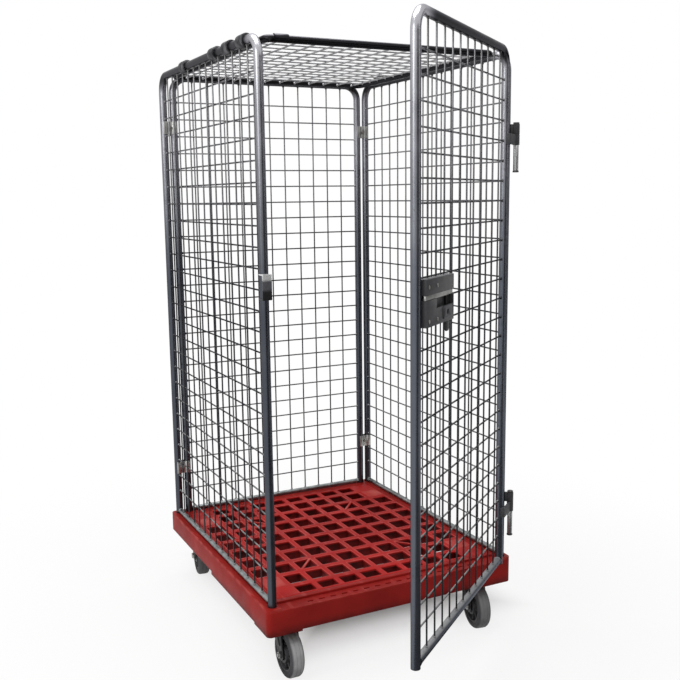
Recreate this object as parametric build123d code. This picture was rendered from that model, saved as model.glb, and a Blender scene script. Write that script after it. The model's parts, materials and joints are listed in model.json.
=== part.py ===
from build123d import *
from math import sqrt
import os

os.makedirs("parts", exist_ok=True)

# Roll container, millimetres.  X runs across the front, Y from front to back, Z up from the floor.

# Castors
wheel_d = 125.0
wheel_w = 36.0
tyre_t = 16.5          # radial thickness of the tyre
tyre_edge = 9.0        # rounding of the tyre's shoulders
head_h = 30.0          # from the top of the wheel to the top of the castor plate
trail = 38.0           # from the swivel axis to the axle
plate_x = 85.0
plate_y = 105.0
plate_t = 4.0
plate_hole_x = 60.0    # bolt spacing of the plate
plate_hole_y = 80.0
plate_hole_fit = 0.5   # radial clearance of the bolts in the plate
plate_bolt_r = 4.0
plate_bolt_flats = 13.0
plate_bolt_head = 5.3
plate_bolt_in = 18.0   # how far the bolts reach into the base
bolt_hole_spare = 2.0  # depth left in their holes
race_r = 31.0
race_h = 8.0
crown_r = 34.0
crown_t = 5.0
crown_fore = 26.0      # flat of the crown, from the swivel axis forward and back
crown_aft = 36.0
leg_t = 4.0
leg_end_r = 16.0       # rounding of a fork leg around the axle
leg_gap = 3.0          # between the wheel and each fork leg
axle_r = 5.0
axle_flats = 16.0      # across the flats of the axle's head and nut
axle_head = 6.0
axle_tip = 3.0         # thread that stands out of the nut
kingpin_r = 6.0
kingpin_head_r = 10.0
kingpin_head = 4.0
bearing_r = 14.0
bearing_w = 12.0
hub_r = 22.0
hub_out = 1.0          # how far the hub stands out of each side of the wheel
disc_w = 10.0          # width of the rim's disc
rim_t = 6.0
rim_in = 2.0           # how far the rim lies inside each side of the tyre
run_fit = 0.04         # radial clearance of every turning fit
part_gap = 0.4         # flat clearance between pieces that move past each other
overlap = 1.0          # of two shapes that become one solid, or of a cut past its face

# Base platform
base_w = 740.0
base_d = 831.0
base_r = 13.0          # corner radius seen from above
block_t = 25.0         # thickness of the castor blocks under the deck
block_w = 150.0
deck_t = 30.0          # depth of the deck grid and of the border around it
deck_skin = 6.0        # thickness of the grid's top, above the ribs
rib_t = 4.0
skirt_h = 68.0         # from the deck down to the lower edge of the skirt
skirt_t = 6.0
rear_rise = 10.0       # the rear part of the skirt ends this much higher
rear_from = 20.0       # where that part begins, behind the base's middle
corner_drop = 5.0      # the two front corners hang this much lower
corner_len = 95.0
border_x = 45.0        # border beside the deck grid
border_y = 55.5        # border in front of and behind the deck grid
ledge_drop = 6.5       # lowered edge under the door
ledge_room = 6.5       # its depth behind the closed door
ledge_wall = 4.5       # between the lowered edge and each front socket
deck_seam = 0.2
castor_inset_x = 76.0  # from the base's edges to the swivel axes
castor_inset_y = 84.0
grid_cols = 10
grid_rows = 8
end_row = 60.0         # depth of the short cell at each end of the grid
bar_x = 16.0           # width of the bars between the holes
bar_y = 20.0
web_t = 7.0            # diagonal web in four of the cells
web_turn = 49.0        # its direction, degrees
web_cell = 2.5         # cells from the deck's middle to those with a web, both ways
slot_pitch = 32.5
slot_margin = 50.0     # free length at each end of the row of slots
slot_w = 16.0
slot_d = 6.0
slot_deep = 8.0

# Tube frames and mesh
tube_r = 11.0
tube_wall = 1.5
post_inset = 22.0      # from the base's edge to the axis of a corner upright
pair = 31.0            # between the axes of two neighbouring uprights
frame_h = 1373.0       # from the deck to the axis of the top rails
bend_r = 45.0
socket_depth = 45.0
socket_fit = 0.3
plug_t = 3.0
plug_len = 15.0
sill_r = 7.0
sill_wall = 1.2
sill_lift = 0.4
wire_r = 2.1
mesh = 51.0
first_row = 76.0       # from the deck to the lowest horizontal wire
top_margin = 55.0      # least distance from the highest wire to the top rail's axis
side_margin = 45.0     # least distance from the outermost wire to an upright's axis
weld_gap = 0.05

# Corner clips
clip_rows = (1, 22)        # each clip sits above this row of wires, midway to the next
clip_h = 38.0
clip_t = 3.0
clip_bolt_r = 3.0
clip_over = 5.0            # how far the plates reach past the tube axes
clip_flats = 10.0          # across the flats of the bolts' heads and nuts
clip_head_h = 4.0
clip_nut_h = 5.0
clip_tip = 1.0

# Door and hinges
door_open = 37.4           # how far the door stands open, degrees
ledge_gap = 1.5            # between the base and the door's lower end
door_rail_r = 10.0
hinge_z = (160.0, 1165.0)  # heights above the deck
hinge_dx = 21.0            # hinge axis from the axis of the right front upright
hinge_dy = 15.5
hinge_pin_r = 5.0
eye_r = 9.0
eye_h = 27.0
strap_t = 6.0
strap_gap = 1.0
strap_wrap = 5.0           # how far a strap reaches around the door's upright
sleeve_r = 7.0
sleeve_len = 66.0
pin_head_r = 8.0
pin_head_h = 4.5

# Lock
lock_z = 801.5             # bolt's height above the deck
lock_w = 168.0
lock_top = 39.0            # from the bolt's axis to the lock's upper edge
lock_bottom = 61.0
lock_depth = 16.0
lock_t = 2.0
lock_lap = 1.5             # how far the lock reaches over the door's upright
lock_gap = 0.4             # between the door's wires and the lock's back plate
bolt_h = 10.0
bolt_t = 6.0
bolt_side = 0.8            # between the bolt and the front of the tubes
bolt_slit = 0.4            # between the bolt and each cover
bolt_in = 1.0              # from the lock's open end to the drawn bolt
bolt_rear = 2.0            # from the bolt to the lock's closed end
tab_w = 20.0
tab_t = 4.0
tab_rear = 1.0             # from the handle to the bolt's rear end
tab_round = 6.0
tab_drop = 26.0            # how far the handle hangs below the lock
slot_run = 107.0           # notch in the lower cover, where the handle travels
slot_fall = 20.0
hasp_w = 54.0
hasp_h = 28.0
hasp_in = 43.0             # padlock hole from the lock's inner end
hasp_down = 40.0           # padlock hole below the bolt's axis
hasp_hole_r = 6.0
hasp_round = 6.0
keeper_h = 61.0
keeper_w = 24.0
keeper_t = 3.0
keeper_out = 2.5           # how far the keeper stands out past the upright's outer side
keeper_gap = 3.7           # between the bolt and the keeper's bridge
rivet_r = 3.5
rivet_h = 1.8
rivet_in = 14.0            # outer rivets from the lock's open end
rivet_mid = 20.0           # inner rivets from the lock's middle
rivet_up = 12.0            # lower rivets from the lock's lower edge

# Lid
lid_r = 9.0
lid_off = 32.0             # from the side top rails to the lid's side rails
lid_front_gap = 5.0        # behind the closed door's top rail
lid_back_gap = 3.5
lid_bend = 16.0
lid_margin = 35.0          # least distance from the outermost wire to a lid rail's axis
hook_y = (160.0, -115.0, -208.0, -300.0)
hook_t = 6.0
hook_w = 38.0
hook_web = 6.0
rest_y = (-250.0, 0.0, 250.0)
rest_w = 30.0
rest_t = 4.0
rest_gap = 0.3
rest_over = 9.0            # how far a rest reaches past the right rail's axis
rest_root = 5.0            # half the width of its foot on the lid's rail
saddle_t = 3.0
saddle_len = 36.0
saddle_in = 1.0            # from the end of the lid's bend to the saddle

# Heights and positions that follow from the sizes
castor_h = wheel_d + head_h
axle_z = wheel_d / 2
block_z = castor_h + block_t
deck_z = block_z + deck_t
skirt_z = deck_z - skirt_h
castor_x = base_w / 2 - castor_inset_x
castor_y = base_d / 2 - castor_inset_y
post_x = base_w / 2 - post_inset
post_y = base_d / 2 - post_inset
inner_x = post_x - pair
top_z = deck_z + frame_h
grid_w = base_w - 2 * border_x
grid_d = base_d - 2 * border_y
cell_x = grid_w / grid_cols
cell_y = (grid_d - 2 * end_row) / grid_rows
ledge_x = post_x - tube_r - socket_fit - ledge_wall
ledge_d = post_inset + tube_r + ledge_room
ledge_z = deck_z - ledge_drop
sill_z = deck_z + sill_lift + sill_r
door_z = ledge_z + ledge_gap + tube_r
hinge_x = post_x + hinge_dx
hinge_y = -post_y - hinge_dy
wire_off = wire_r + weld_gap / 2
tube_front = -post_y - tube_r
bolt_y = tube_front - bolt_side - bolt_t / 2
lock_mid = deck_z + lock_z
lock_back = -post_y - wire_off - wire_r - lock_gap
lid_left = -post_x + lid_off
lid_right = post_x - lid_off
lid_front = -post_y + tube_r + lid_front_gap + lid_r
lid_back = post_y - tube_r - lid_back_gap - lid_r

# Castors as they stand: place of the swivel axis and the direction in which the wheel trails
castors = {
    "fl": (-castor_x, -castor_y, 180.0),
    "fr": (castor_x, -castor_y, 170.0),
    "bl": (-castor_x, castor_y, -8.0),
    "br": (castor_x, castor_y, 12.0),
}


def save(name, solids):
    """Write one named piece, or one group of identical pieces, to its own file."""
    flat = [s for item in solids for s in item.solids()]
    shape = flat[0] if len(flat) == 1 else Compound(children=flat)
    export_step(shape, f"parts/{name}.step")


def rod(x, y, z0, z1, r):
    """Upright cylinder between two heights."""
    return Pos(x, y, (z0 + z1) / 2) * Cylinder(r, z1 - z0)


def rod_x(x0, x1, y, z, r):
    return Pos((x0 + x1) / 2, y, z) * Rot(0, 90, 0) * Cylinder(r, x1 - x0)


def rod_y(x, y0, y1, z, r):
    return Pos(x, (y0 + y1) / 2, z) * Rot(90, 0, 0) * Cylinder(r, y1 - y0)


def block(x0, x1, y0, y1, z0, z1):
    return Pos((x0 + x1) / 2, (y0 + y1) / 2, (z0 + z1) / 2) * Box(x1 - x0, y1 - y0, z1 - z0)


def hex_prism(x, y, z0, z1, across_flats):
    """Bolt head or nut with an upright axis."""
    return Pos(x, y, z0) * extrude(RegularPolygon(across_flats / 2, 6, major_radius=False), z1 - z0)


# Base platform: a border with a skirt around it and castor blocks, and the deck grid inside it.


def base_border():
    outline = RectangleRounded(base_w, base_d, base_r)
    inner = RectangleRounded(base_w - 2 * skirt_t, base_d - 2 * skirt_t, base_r - skirt_t)
    opening = Rectangle(grid_w + 2 * deck_seam, grid_d + 2 * deck_seam)
    low = skirt_z - corner_drop
    border = Pos(0, 0, block_z) * extrude(outline - opening, deck_t)
    skirt = Pos(0, 0, low) * extrude(outline - inner, block_z - low)
    hx = base_w / 2
    hy = base_d / 2
    skirt -= block(-hx, hx, rear_from, hy, low, skirt_z + rear_rise)
    skirt -= block(-hx, hx, corner_len - hy, rear_from, low, skirt_z)
    skirt -= block(corner_len - hx, hx - corner_len, -hy, corner_len - hy, low, skirt_z)
    ring = border + skirt
    inside = Pos(0, 0, castor_h) * extrude(outline, block_t)
    for x, y, turn in castors.values():
        ring += (Pos(x, y, castor_h + block_t / 2) * Box(block_w, block_w, block_t)) & inside
    ring -= block(-ledge_x, ledge_x, -hy - overlap, ledge_d - hy, ledge_z, deck_z + overlap)
    for x, y in feet():
        ring -= rod(x, y, deck_z - socket_depth, deck_z, tube_r + socket_fit)
    for x, y, turn in castors.values():
        for hole in plate_holes(x, y):
            ring -= rod(*hole, castor_h, castor_h + plate_bolt_in + bolt_hole_spare, plate_bolt_r)
    slots = int((grid_w - 2 * slot_margin) / slot_pitch)
    slot_y = ledge_d / 2 - hy
    for i in range(slots):
        x = (i - (slots - 1) / 2) * slot_pitch
        ring -= block(x - slot_w / 2, x + slot_w / 2, slot_y - slot_d / 2, slot_y + slot_d / 2,
                      ledge_z - slot_deep, ledge_z)
    return ring


def feet():
    """Places where uprights stand in the base: two side panels and the back panel."""
    return [(-post_x, -post_y), (-post_x, post_y), (post_x, -post_y), (post_x, post_y),
            (-inner_x, post_y), (inner_x, post_y)]


def plate_holes(x, y):
    """Places of the four bolts of a castor plate."""
    return [(x + dx, y + dy) for dx in (-plate_hole_x / 2, plate_hole_x / 2)
            for dy in (-plate_hole_y / 2, plate_hole_y / 2)]


def deck_holes():
    """Centre and size of every hole in the deck; the four corners stay closed."""
    last_col = (grid_cols - 1) / 2
    last_row = (grid_rows - 1) / 2
    hole_x = cell_x - bar_x
    holes = []
    for i in range(grid_cols):
        col = i - last_col
        corner = abs(col) == last_col
        for j in range(grid_rows):
            row = j - last_row
            if not (corner and abs(row) == last_row):
                holes.append((col * cell_x, row * cell_y, hole_x, cell_y - bar_y))
        if not corner:
            for end in (-1, 1):
                holes.append((col * cell_x, end * (grid_d - end_row) / 2, hole_x, end_row - bar_y))
    return holes


def deck_grid():
    top = Rectangle(grid_w, grid_d)
    for x, y, w, d in deck_holes():
        top -= Pos(x, y) * Rectangle(w, d)
    reach = sqrt((cell_x - bar_x) ** 2 + (cell_y - bar_y) ** 2)
    for col in (-web_cell, web_cell):
        for row in (-web_cell, web_cell):
            turn = web_turn if col * row > 0 else -web_turn
            top += Pos(col * cell_x, row * cell_y) * Rot(0, 0, turn) * Rectangle(reach, web_t)
    ribs = Rectangle(grid_w, grid_d) - Rectangle(grid_w - 2 * rib_t, grid_d - 2 * rib_t)
    for i in range(1, grid_cols):
        ribs += Pos((i - grid_cols / 2) * cell_x, 0) * Rectangle(rib_t, grid_d)
    for j in range(grid_rows + 1):
        ribs += Pos(0, (j - grid_rows / 2) * cell_y) * Rectangle(grid_w, rib_t)
    skin = Pos(0, 0, deck_z - deck_skin) * extrude(top, deck_skin)
    return skin + Pos(0, 0, block_z) * extrude(ribs, deck_t - deck_skin)


save("base_border", [base_border()])
save("deck_grid", [deck_grid()])


# Castors: plates bolted under the base, forks that swivel on kingpins, wheels on axles.

crown_z = castor_h - plate_t - race_h - part_gap
leg_x = wheel_w / 2 + leg_gap


def castor_plate(x, y):
    plate = Pos(x, y, castor_h - plate_t / 2) * Box(plate_x, plate_y, plate_t)
    plate += rod(x, y, castor_h - plate_t - race_h, castor_h - plate_t, race_r)
    plate -= rod(x, y, 0, castor_h, kingpin_r)
    for hole in plate_holes(x, y):
        plate -= rod(*hole, 0, castor_h, plate_bolt_r + plate_hole_fit)
    return plate


def castor_bolt(x, y):
    under = castor_h - plate_t
    head = hex_prism(x, y, under - plate_bolt_head, under, plate_bolt_flats)
    return head + rod(x, y, under - overlap, castor_h + plate_bolt_in, plate_bolt_r)


def kingpin(x, y):
    below = crown_z - crown_t - part_gap
    low = below - kingpin_head
    return rod(x, y, low, castor_h, kingpin_r) + rod(x, y, low, below, kingpin_head_r)


def fork():
    """Fork in its own frame: swivel axis at the origin, wheel trailing along +Y."""
    under = crown_z - crown_t
    crown = rod(0, 0, under, crown_z, crown_r)
    crown += block(-leg_x - leg_t, leg_x + leg_t, -crown_fore, crown_aft, under, crown_z)
    end = Edge.make_circle(leg_end_r, Plane((trail, axle_z, 0)))
    root = Edge.make_line((-crown_fore, under + overlap), (crown_aft, under + overlap))
    outline = make_hull([end, root])
    leg = extrude(Plane.YZ * outline, leg_t)
    legs = Pos(leg_x, 0, 0) * leg + Pos(-leg_x - leg_t, 0, 0) * leg
    body = crown + legs
    body -= rod(0, 0, 0, castor_h, kingpin_r + run_fit)
    return body - rod_x(-wheel_w, wheel_w, trail, axle_z, axle_r)


def axle():
    """Axle bolt with a hex head on one side and a nut on the other."""
    end = leg_x + leg_t
    head = Rot(0, 90, 0) * extrude(RegularPolygon(axle_flats / 2, 6, major_radius=False), axle_head)
    nut_hole = rod_x(0, wheel_w, 0, 0, axle_r)
    bolt = rod_x(-end - overlap, end + axle_head + axle_tip, trail, axle_z, axle_r)
    bolt += Pos(-end - axle_head, trail, axle_z) * head
    nut = Pos(end, trail, axle_z) * (head - nut_hole)
    return [bolt, nut]


def ring_x(r_in, r_out, width):
    """Ring around the axle, centred on the wheel."""
    ring = rod_x(-width / 2, width / 2, 0, 0, r_out) - rod_x(-width, width, 0, 0, r_in)
    return Pos(0, trail, axle_z) * ring


def rim():
    rim_r = wheel_d / 2 - tyre_t
    body = ring_x(bearing_r, hub_r, wheel_w + 2 * hub_out)
    body += ring_x(hub_r - overlap, rim_r - rim_t + overlap, disc_w)
    return body + ring_x(rim_r - rim_t, rim_r, wheel_w - 2 * rim_in)


def tyre():
    body = ring_x(wheel_d / 2 - tyre_t, wheel_d / 2, wheel_w)
    outer = body.edges().filter_by(GeomType.CIRCLE).group_by(SortBy.RADIUS)[-1]
    return fillet(outer, tyre_edge)


def bearings():
    one = ring_x(axle_r + run_fit, bearing_r, bearing_w)
    shift = (wheel_w + 2 * hub_out - bearing_w) / 2
    return [Pos(shift, 0, 0) * one, Pos(-shift, 0, 0) * one]


save("castor_plates", [castor_plate(x, y) for x, y, turn in castors.values()])
save("castor_kingpins", [kingpin(x, y) for x, y, turn in castors.values()])
save("castor_bolts", [castor_bolt(*hole) for x, y, turn in castors.values() for hole in plate_holes(x, y)])
for tag, (x, y, turn) in castors.items():
    stand = Pos(x, y, 0) * Rot(0, 0, turn)
    save(f"fork_{tag}", [stand * fork()])
    save(f"axle_{tag}", [stand * s for s in axle()])
    save(f"rim_{tag}", [stand * rim()])
    save(f"tyre_{tag}", [stand * tyre()])
    save(f"bearings_{tag}", [stand * s for s in bearings()])


# Mesh panels: each is drawn standing in the XZ plane, mesh side out along +Y, and then turned into place.


def bent_tube(half, z0, z1, r):
    """Inverted U with two bent upper corners, as a bar of radius r."""
    path = Plane.XZ * FilletPolyline((-half, z0), (-half, z1), (half, z1), (half, z0), radius=bend_r)
    return sweep(Plane((-half, 0, z0)) * Circle(r), path)


def half_at(half, z):
    """Half the free width between the uprights at height z, bent corners included."""
    up = z - (top_z - bend_r)
    if up <= 0:
        return half - tube_r
    return half - bend_r + sqrt(max((bend_r - tube_r) ** 2 - up ** 2, 0))


def top_at(half, x):
    """Height of the underside of the top rail above x, bent corners included."""
    side = abs(x) - (half - bend_r)
    if side <= 0:
        return top_z - tube_r
    return top_z - bend_r + sqrt(max((bend_r - tube_r) ** 2 - side ** 2, 0))


def columns(half):
    return int(2 * (half - side_margin) / mesh) + 1


def between_wires(half, y):
    """Place midway between two upright wires of a panel, as near to y as there is one."""
    shift = (columns(half) % 2) / 2
    return (round(y / mesh - shift) + shift) * mesh


def mesh_wires(half, z0):
    """Horizontal and vertical wires of a panel whose lower rail ends at z0."""
    rows = int((frame_h - first_row - top_margin) / mesh) + 1
    cols = columns(half)
    level = [deck_z + first_row + k * mesh for k in range(rows)]
    across = [(k - (cols - 1) / 2) * mesh for k in range(cols)]
    flat = [(half_at(half, z) - weld_gap, z) for z in level]
    lying = [rod_x(-end, end, -wire_off, z, wire_r) for end, z in flat]
    standing = [rod(x, wire_off, z0 + weld_gap, top_at(half, x) - weld_gap, wire_r) for x in across]
    return lying, standing


def panel(half, place, name):
    """Side or back panel: bent tube, lower rail and mesh."""
    foot = deck_z - socket_depth + plug_t
    frame = bent_tube(half, foot, top_z, tube_r) - bent_tube(half, foot, top_z, tube_r - tube_wall)
    end = half - tube_r - weld_gap
    sill = rod_x(-end, end, 0, sill_z, sill_r) - rod_x(-end, end, 0, sill_z, sill_r - sill_wall)
    lying, standing = mesh_wires(half, sill_z + sill_r)
    save(f"{name}_frame", [place * frame])
    save(f"{name}_wires_h", [place * s for s in lying])
    save(f"{name}_wires_v", [place * s for s in standing])
    return place * sill


left_place = Pos(-post_x, 0, 0) * Rot(0, 0, 90)
right_place = Pos(post_x, 0, 0) * Rot(0, 0, -90)
back_place = Pos(0, post_y, 0)
sills = [panel(post_y, left_place, "left"), panel(post_y, right_place, "right"),
         panel(inner_x, back_place, "back")]
save("panel_sills", sills)


def tube_plug(x, y):
    low = deck_z - socket_depth
    return rod(x, y, low, low + plug_t, tube_r) + rod(x, y, low, low + plug_len, tube_r - tube_wall)


save("tube_plugs", [tube_plug(x, y) for x, y in feet()])


# Corner clips: two plates on each pair of rear uprights, drawn together by one bolt.


def clip_spots():
    level = [deck_z + first_row + (row + 0.5) * mesh for row in clip_rows]
    return [(side * (post_x + inner_x) / 2, post_y, z) for side in (-1, 1) for z in level]


def clip_plates(x, y, z):
    hole = rod_y(x, y - clip_h, y + clip_h, z, clip_bolt_r)
    half = pair / 2 + clip_over
    inner = block(x - half, x + half, y - tube_r - clip_t, y - tube_r, z - clip_h / 2, z + clip_h / 2)
    outer = block(x - half, x + half, y + tube_r, y + tube_r + clip_t, z - clip_h / 2, z + clip_h / 2)
    return [inner - hole, outer - hole]


def clip_hexagon(x, y, z, height):
    """Head or nut of a clip's bolt, from y towards the front."""
    hexagon = RegularPolygon(clip_flats / 2, 6, major_radius=False)
    return Pos(x, y, z) * Rot(90, 0, 0) * extrude(hexagon, height)


def clip_bolt(x, y, z):
    inside = y - tube_r - clip_t
    outside = y + tube_r + clip_t + clip_nut_h
    head = clip_hexagon(x, inside, z, clip_head_h)
    return head + rod_y(x, inside - overlap, outside + clip_tip, z, clip_bolt_r)


def clip_nut(x, y, z):
    outside = y + tube_r + clip_t + clip_nut_h
    nut = clip_hexagon(x, outside, z, clip_nut_h)
    return nut - rod_y(x, y, outside + clip_h, z, clip_bolt_r)


save("clip_plates", [s for spot in clip_spots() for s in clip_plates(*spot)])
save("clip_bolts", [clip_bolt(*spot) for spot in clip_spots()])
save("clip_nuts", [clip_nut(*spot) for spot in clip_spots()])


# Hinges: eyes on the right front upright hold long pins, straps on the door turn on them.


def hinge_eye(z):
    low = z + part_gap / 2
    eye = rod(hinge_x, hinge_y, low, z + eye_h, eye_r)
    span = sqrt(hinge_dx ** 2 + hinge_dy ** 2)
    web = Pos(span / 2, 0, (low + z + eye_h) / 2) * Box(span, strap_t, z + eye_h - low)
    aim = Vector(1, 0, 0).get_signed_angle(Vector(hinge_dx, -hinge_dy, 0), Vector(0, 0, 1))
    eye += Pos(post_x, -post_y, 0) * Rot(0, 0, aim) * web
    eye -= rod(post_x, -post_y, 0, top_z, tube_r + weld_gap)
    return eye - rod(hinge_x, hinge_y, 0, top_z, hinge_pin_r)


def hinge_pin(z):
    top = z + eye_h
    low = z - eye_h - part_gap - sleeve_len
    pin = rod(hinge_x, hinge_y, low - overlap, top + overlap, hinge_pin_r)
    pin += rod(hinge_x, hinge_y, top, top + pin_head_h, pin_head_r)
    return pin + rod(hinge_x, hinge_y, low - pin_head_h, low, pin_head_r)


def hinge_sleeve(z):
    top = z - eye_h - part_gap
    tube = rod(hinge_x, hinge_y, top - sleeve_len, top, sleeve_r)
    return tube - rod(hinge_x, hinge_y, 0, top_z, hinge_pin_r)


hinge_levels = [deck_z + z for z in hinge_z]
save("hinge_eyes", [hinge_eye(z) for z in hinge_levels])
save("hinge_pins", [hinge_pin(z) for z in hinge_levels])
save("hinge_sleeves", [hinge_sleeve(z) for z in hinge_levels])


# Door: drawn closed between the front uprights and then swung open about the hinge axis.

swing = Pos(hinge_x, hinge_y, 0) * Rot(0, 0, door_open) * Pos(-hinge_x, -hinge_y, 0)
door_place = swing * Pos(0, -post_y, 0) * Rot(0, 0, 180)


def door_frame():
    """Bent tube with a straight bottom rail welded between its legs."""
    low = door_z - tube_r
    bore = tube_r - tube_wall
    rail_bore = door_rail_r - tube_wall
    body = bent_tube(inner_x, low, top_z, tube_r) + rod_x(-inner_x, inner_x, 0, door_z, door_rail_r)
    body -= bent_tube(inner_x, low + tube_wall, top_z, bore)
    return body - rod_x(-inner_x, inner_x, 0, door_z, rail_bore)


def door_strap(z):
    low = z - eye_h
    high = z - part_gap / 2
    strap_back = tube_front - strap_gap
    strap = rod(hinge_x, hinge_y, low, high, eye_r)
    strap += block(inner_x - tube_r, hinge_x, strap_back - strap_t, strap_back, low, high)
    strap += block(inner_x - tube_r, inner_x + tube_r, strap_back - overlap, tube_front + strap_wrap,
                   low, high)
    strap -= rod(inner_x, -post_y, 0, top_z, tube_r + weld_gap)
    return strap - rod(hinge_x, hinge_y, 0, top_z, hinge_pin_r + run_fit)


save("door_frame", [door_place * door_frame()])
lying, standing = mesh_wires(inner_x, door_z + door_rail_r)
save("door_wires_h", [door_place * s for s in lying])
save("door_wires_v", [door_place * s for s in standing])
save("door_straps", [swing * door_strap(z) for z in hinge_levels])


# Lock on the door's free edge: back plate, two covers, hasp, and a bolt that slides between the covers.

lock_x0 = -inner_x + tube_r - lock_lap
lock_x1 = lock_x0 + lock_w
bolt_x1 = lock_x1 - lock_t - bolt_rear
lock_front = lock_back - lock_depth
upper_z = lock_mid + bolt_h / 2 + bolt_slit
lower_z = lock_mid - bolt_h / 2 - bolt_slit
high_z = lock_mid + lock_top
low_z = lock_mid - lock_bottom
hasp_x = lock_x1 - hasp_in
hasp_z = lock_mid - hasp_down


def lock_plate():
    plate = block(lock_x0, lock_x1, lock_back - lock_t, lock_back, low_z, high_z)
    return plate - rod(-inner_x, -post_y, 0, top_z, tube_r + weld_gap)


def lock_upper_cover():
    skin = lock_front + lock_t
    rear = lock_back - lock_t
    cover = block(lock_x0, lock_x1, lock_front, skin, upper_z, high_z)
    cover += block(lock_x0, lock_x1, lock_front, rear, high_z - lock_t, high_z)
    cover += block(lock_x0, lock_x0 + lock_t, lock_front, rear, upper_z, high_z)
    cover += block(lock_x1 - lock_t, lock_x1, lock_front, rear, upper_z, high_z)
    return cover - rod(-inner_x, -post_y, 0, top_z, tube_r + weld_gap)


def lock_lower_cover():
    skin = lock_front + lock_t
    rear = lock_back - lock_t
    cover = block(lock_x0, lock_x1, lock_front, skin, low_z, lower_z)
    cover += block(lock_x0, lock_x0 + lock_t, lock_front, rear, low_z, lower_z)
    cover += block(lock_x1 - lock_t, lock_x1, lock_front, rear, low_z, lower_z)
    cover -= rod(-inner_x, -post_y, 0, top_z, tube_r + weld_gap)
    cover -= block(lock_x1 - slot_run, lock_x1 - lock_t, lock_front, skin, lower_z - slot_fall, lower_z)
    return cover - rod_y(hasp_x, lock_front - overlap, skin + overlap, hasp_z, hasp_hole_r)


def lock_hasp():
    plate = block(hasp_x - hasp_w / 2, hasp_x + hasp_w / 2, lock_front - lock_t, lock_front,
                  hasp_z - hasp_h / 2, hasp_z + hasp_h / 2)
    plate = fillet(plate.edges().filter_by(Axis.Y), hasp_round)
    return plate - rod_y(hasp_x, lock_front - hasp_h, lock_front + hasp_h, hasp_z, hasp_hole_r)


def lock_rivets():
    across = [lock_x0 + rivet_in, (lock_x0 + lock_x1) / 2 - rivet_mid]
    level = [(upper_z + high_z) / 2, low_z + rivet_up]
    return [rod_y(x, lock_front - rivet_h, lock_front, z, rivet_r) for x in across for z in level]


def lock_bolt():
    return block(lock_x0 + bolt_in, bolt_x1, bolt_y - bolt_t / 2, bolt_y + bolt_t / 2,
                 lock_mid - bolt_h / 2, lock_mid + bolt_h / 2)


def lock_handle():
    """Flat bar behind the bolt; its lower end hangs out below the cover."""
    x1 = bolt_x1 - tab_rear
    y0 = bolt_y + bolt_t / 2
    tab = block(x1 - tab_w, x1, y0, y0 + tab_t, low_z - tab_drop, lock_mid + bolt_h / 2)
    return fillet(tab.edges().filter_by(Axis.Y).group_by(Axis.Z)[0], tab_round)


save("lock_plate", [swing * lock_plate()])
save("lock_upper_cover", [swing * lock_upper_cover()])
save("lock_lower_cover", [swing * lock_lower_cover()])
save("lock_hasp", [swing * lock_hasp()])
save("lock_rivets", [swing * s for s in lock_rivets()])
save("lock_bolt", [swing * lock_bolt()])
save("lock_handle", [swing * lock_handle()])


# Keeper: a bracket on the left front upright, with a window that the bolt enters.


def keeper():
    high = lock_mid + keeper_h / 2
    low = lock_mid - keeper_h / 2
    skin = bolt_y - bolt_t / 2 - keeper_gap
    x0 = -post_x - tube_r - keeper_out
    x1 = x0 + keeper_w
    body = block(x0, x1, skin - keeper_t, skin, low, high)
    body += block(x0, x1, skin - keeper_t, -post_y, high - keeper_t, high)
    body += block(x0, x1, skin - keeper_t, -post_y, low, low + keeper_t)
    return body - rod(-post_x, -post_y, 0, top_z, tube_r + weld_gap)


save("keeper", [keeper()])


# Lid: a tube frame with mesh, hooked around the left top rail and resting on the right one.

lid_mid = (lid_front + lid_back) / 2
lid_w = lid_right - lid_left
lid_d = lid_back - lid_front


def lid_loop(r):
    path = Pos(0, lid_mid, top_z) * RectangleRounded(lid_w, lid_d, lid_bend).wire()
    start = Plane((0, lid_front, top_z), x_dir=(0, 1, 0), z_dir=(1, 0, 0))
    return sweep(start * Circle(r), path)


def lid_wires():
    cols = int(2 * (lid_w / 2 - lid_margin) / mesh) + 1
    rows = int(2 * (lid_d / 2 - lid_margin) / mesh) + 1
    end_y = lid_d / 2 - lid_r - weld_gap
    end_x = lid_w / 2 - lid_r - weld_gap
    across = [(k - (cols - 1) / 2) * mesh for k in range(cols)]
    along = [lid_mid + (k - (rows - 1) / 2) * mesh for k in range(rows)]
    run_y = [rod_y(x, lid_mid - end_y, lid_mid + end_y, top_z - wire_off, wire_r) for x in across]
    run_x = [rod_x(-end_x, end_x, y, top_z + wire_off, wire_r) for y in along]
    return run_x, run_y


def lid_hook(y):
    """Strap closed around the left top rail and welded to the lid's left rail."""
    y0 = y - hook_w / 2
    y1 = y + hook_w / 2
    hook = rod_y(-post_x, y0, y1, top_z, tube_r + hook_t)
    hook += block(-post_x, lid_left, y0, y1, top_z - hook_web / 2, top_z + hook_web / 2)
    hook -= rod_y(-post_x, -base_d, base_d, top_z, tube_r + run_fit)
    return hook - rod_y(lid_left, -base_d, base_d, top_z, lid_r + weld_gap)


def lid_rest(y):
    """Lug on the lid's right rail that lies over the right top rail."""
    under = top_z + tube_r + rest_gap
    x0 = lid_right - rest_root
    y0 = y - rest_w / 2
    y1 = y + rest_w / 2
    lug = block(x0, post_x + rest_over, y0, y1, under, under + rest_t)
    lug += block(x0, lid_right + rest_root, y0, y1, top_z, under + rest_t)
    return lug - rod_y(lid_right, -base_d, base_d, top_z, lid_r + weld_gap)


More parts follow.
